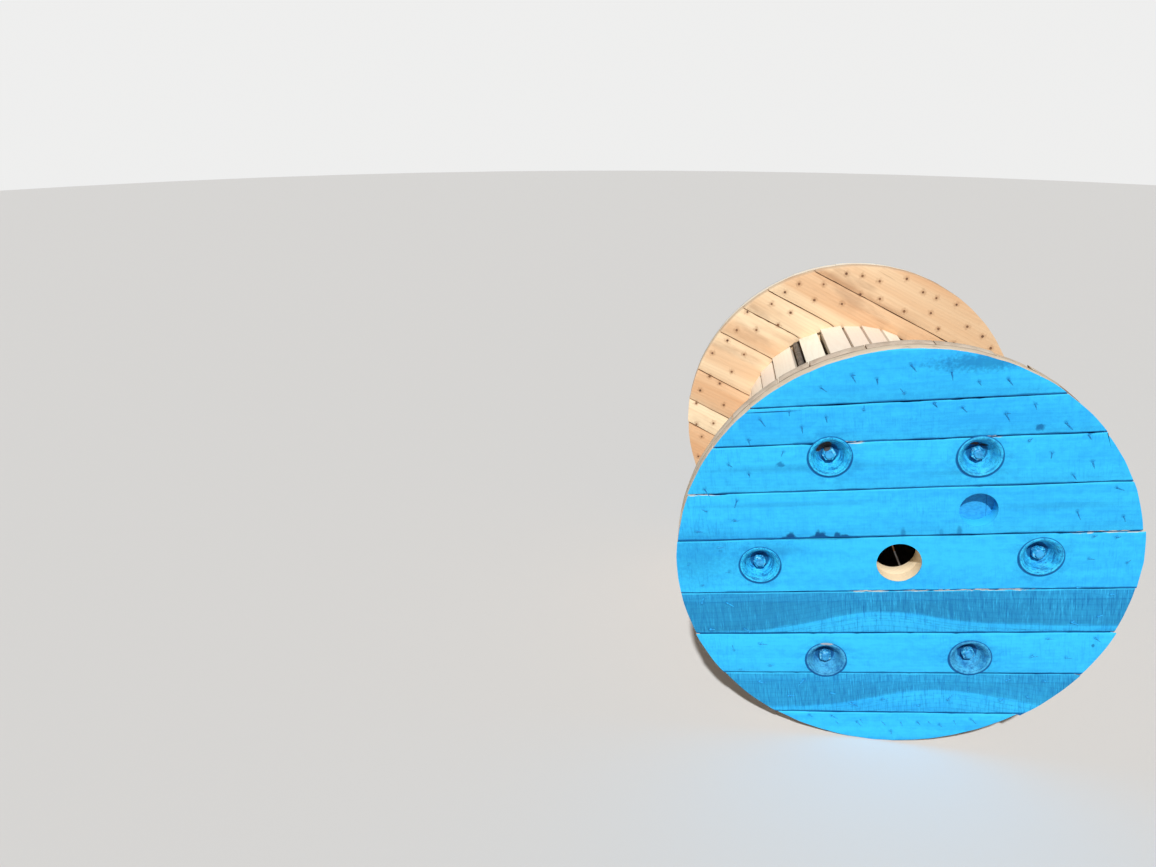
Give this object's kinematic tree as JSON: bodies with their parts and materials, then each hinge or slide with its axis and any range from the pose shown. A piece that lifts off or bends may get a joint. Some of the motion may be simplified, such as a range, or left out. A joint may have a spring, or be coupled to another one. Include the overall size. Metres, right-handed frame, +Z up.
{
  "type": "wooden cable drum",
  "caption": "Wooden cable drum with two round two-ply board flanges painted blue outside, a stave barrel, a spindle hole, drive holes and tie rods with dished washers.",
  "frame": {"origin": "middle of the drum, on the spindle axis, halfway between the outer faces of the flanges", "axes": "+Y along the spindle axis from the front flange to the rear flange, +X to the right seen from the front, +Z up; the drum lies on the rims of both flanges"},
  "size_m": [0.9, 0.865, 0.9],
  "materials": {
    "blue_paint": "sky-blue paint on sawn boards",
    "flange_wood": "raw sawn pine",
    "stave_wood": "raw sawn pine, paler",
    "painted_steel": "sky-blue overspray on pressed steel",
    "bare_steel": "dull mild steel rod"
  },
  "bodies": {
    "root": {"barrel_staves_1": "stave_wood", "barrel_staves_2": "stave_wood", "barrel_staves_3": "stave_wood", "barrel_staves_4": "stave_wood", "barrel_staves_5": "stave_wood", "barrel_staves_6": "stave_wood", "front_cup_washers": "painted_steel", "front_hex_nuts": "painted_steel", "front_inner_board_left_1": "flange_wood", "front_inner_board_left_2": "flange_wood", "front_inner_board_left_3": "flange_wood", "front_inner_board_left_4": "flange_wood", "front_inner_board_middle": "flange_wood", "front_inner_board_right_1": "flange_wood", "front_inner_board_right_2": "flange_wood", "front_inner_board_right_3": "flange_wood", "front_inner_board_right_4": "flange_wood", "front_outer_board_lower_1": "blue_paint", "front_outer_board_lower_2": "blue_paint", "front_outer_board_lower_3": "blue_paint", "front_outer_board_lower_4": "blue_paint", "front_outer_board_middle": "blue_paint", "front_outer_board_upper_1": "blue_paint", "front_outer_board_upper_2": "blue_paint", "front_outer_board_upper_3": "blue_paint", "front_outer_board_upper_4": "blue_paint", "rear_cup_washers": "painted_steel", "rear_hex_nuts": "painted_steel", "rear_inner_board_lower_1": "flange_wood", "rear_inner_board_lower_2": "flange_wood", "rear_inner_board_lower_3": "flange_wood", "rear_inner_board_lower_4": "flange_wood", "rear_inner_board_middle": "flange_wood", "rear_inner_board_upper_1": "flange_wood", "rear_inner_board_upper_2": "flange_wood", "rear_inner_board_upper_3": "flange_wood", "rear_inner_board_upper_4": "flange_wood", "rear_outer_board_left_1": "blue_paint", "rear_outer_board_left_2": "blue_paint", "rear_outer_board_left_3": "blue_paint", "rear_outer_board_left_4": "blue_paint", "rear_outer_board_middle": "blue_paint", "rear_outer_board_right_1": "blue_paint", "rear_outer_board_right_2": "blue_paint", "rear_outer_board_right_3": "blue_paint", "rear_outer_board_right_4": "blue_paint", "tie_rod_1": "bare_steel", "tie_rod_2": "bare_steel", "tie_rod_3": "bare_steel", "tie_rod_4": "bare_steel", "tie_rod_5": "bare_steel", "tie_rod_6": "bare_steel"}
  },
  "joints": []
}
